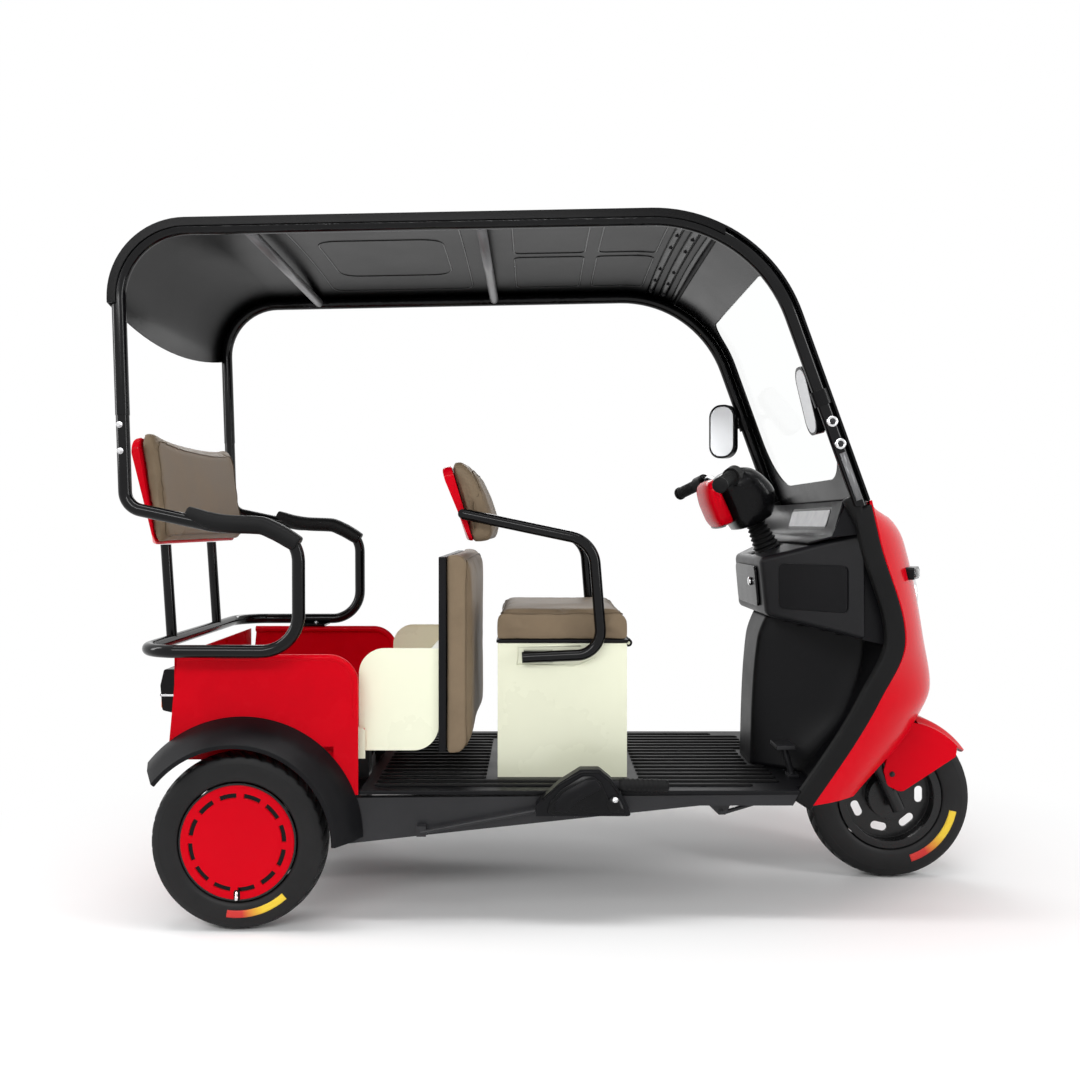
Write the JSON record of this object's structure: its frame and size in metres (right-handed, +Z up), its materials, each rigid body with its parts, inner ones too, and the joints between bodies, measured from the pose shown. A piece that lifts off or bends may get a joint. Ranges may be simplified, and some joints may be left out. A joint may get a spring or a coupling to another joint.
{
  "type": "electric passenger tricycle",
  "caption": "Electric passenger tricycle with a canopy and screen, steered front wheel, driver's seat over a battery box, and a rear bench that folds out of an open cargo box.",
  "frame": {"origin": "on the ground, under the middle of the overall box", "axes": "+X forward along the length, +Y to the vehicle's left, +Z up"},
  "size_m": [2.1537, 0.862, 1.6802],
  "materials": {
    "red_paint": "gloss",
    "red_panel": "gloss",
    "cream": "gloss",
    "black_tube": "gloss",
    "frame_grey": "satin",
    "dark_plastic": "satin",
    "black_rubber": "matte",
    "brown_vinyl": "satin",
    "tyre": "matte",
    "rim_black": "gloss",
    "steel": "satin",
    "motor_cast": "satin",
    "clear": "gloss",
    "mirror": "gloss",
    "lens_red": "gloss",
    "lens_amber": "gloss",
    "lens_clear": "gloss",
    "battery_case": "satin"
  },
  "bodies": {
    "chassis": {"main_frame": "frame_grey", "floor_board": "dark_plastic", "rear_axle": "frame_grey", "drive_motor": "motor_cast", "rear_suspension": "black_tube", "box_floor": "red_panel", "box_side_left": "red_panel", "box_side_right": "red_panel", "box_panel": "red_panel", "rear_fenders": "dark_plastic", "tail_lamps": "lens_red", "arm_frame": "black_tube", "arm_pads": "black_rubber", "rear_back_shell": "red_paint", "rear_back_pad": "brown_vinyl", "canopy_frame": "black_tube", "roof_panel": "dark_plastic", "screen_frame": "dark_plastic", "screen_glass": "clear", "mirror_shells": "dark_plastic", "mirror_glass": "mirror", "front_shell": "red_paint", "headlamp": "lens_clear", "shell_trim": "black_rubber", "turn_signals": "lens_amber", "leg_shield": "dark_plastic", "dash": "dark_plastic", "driver_seat_box": "cream", "battery_pack": "battery_case", "driver_arms": "black_tube", "driver_back_shell": "red_paint", "driver_back_pad": "brown_vinyl", "hand_brake": "frame_grey", "brake_rod": "steel", "brake_pedal": "steel"},
    "steering": {"fork": "rim_black", "front_fender": "red_paint", "handlebar": "black_tube", "hand_grips": "black_rubber", "bar_pod": "dark_plastic", "bar_cover": "red_paint", "steer_boot": "black_rubber"},
    "front_wheel": {"front_tyre": "tyre", "front_rim": "rim_black"},
    "rear_wheel_left": {"rear_tyre_left": "tyre", "rear_rim_left": "rim_black", "wheel_cover_left": "red_paint"},
    "rear_wheel_right": {"rear_tyre_right": "tyre", "rear_rim_right": "rim_black", "wheel_cover_right": "red_paint"},
    "rear_seat": {"rear_seat_base": "cream", "rear_seat_plate": "dark_plastic", "rear_cushion": "brown_vinyl"},
    "driver_lid": {"driver_seat_tray": "dark_plastic", "driver_cushion": "brown_vinyl"}
  },
  "joints": [
    {"name": "steering_turn", "type": "hinge", "parent": "chassis", "child": "steering", "pos_m": [0.84844, 0, 0.20936], "axis": [-0.4147, 0, 0.91], "range_deg": [-40, 40]},
    {"name": "front_spin", "type": "hinge", "parent": "steering", "child": "front_wheel", "pos_m": [0.863, 0, 0.216], "axis": [0, 1, 0], "continuous": true},
    {"name": "rear_left_spin", "type": "hinge", "parent": "chassis", "child": "rear_wheel_left", "pos_m": [-0.775, 0.355, 0.206], "axis": [0, 1, 0], "continuous": true},
    {"name": "rear_right_spin", "type": "hinge", "parent": "chassis", "child": "rear_wheel_right", "pos_m": [-0.775, -0.355, 0.206], "axis": [0, 1, 0], "continuous": true},
    {"name": "bench_fold", "type": "hinge", "parent": "chassis", "child": "rear_seat", "pos_m": [-0.503, 0, 0.444], "axis": [0, -1, 0], "range_deg": [0, 90]},
    {"name": "seat_lid", "type": "hinge", "parent": "chassis", "child": "driver_lid", "pos_m": [0.156, 0, 0.64], "axis": [0, 1, 0], "range_deg": [0, 50]}
  ]
}
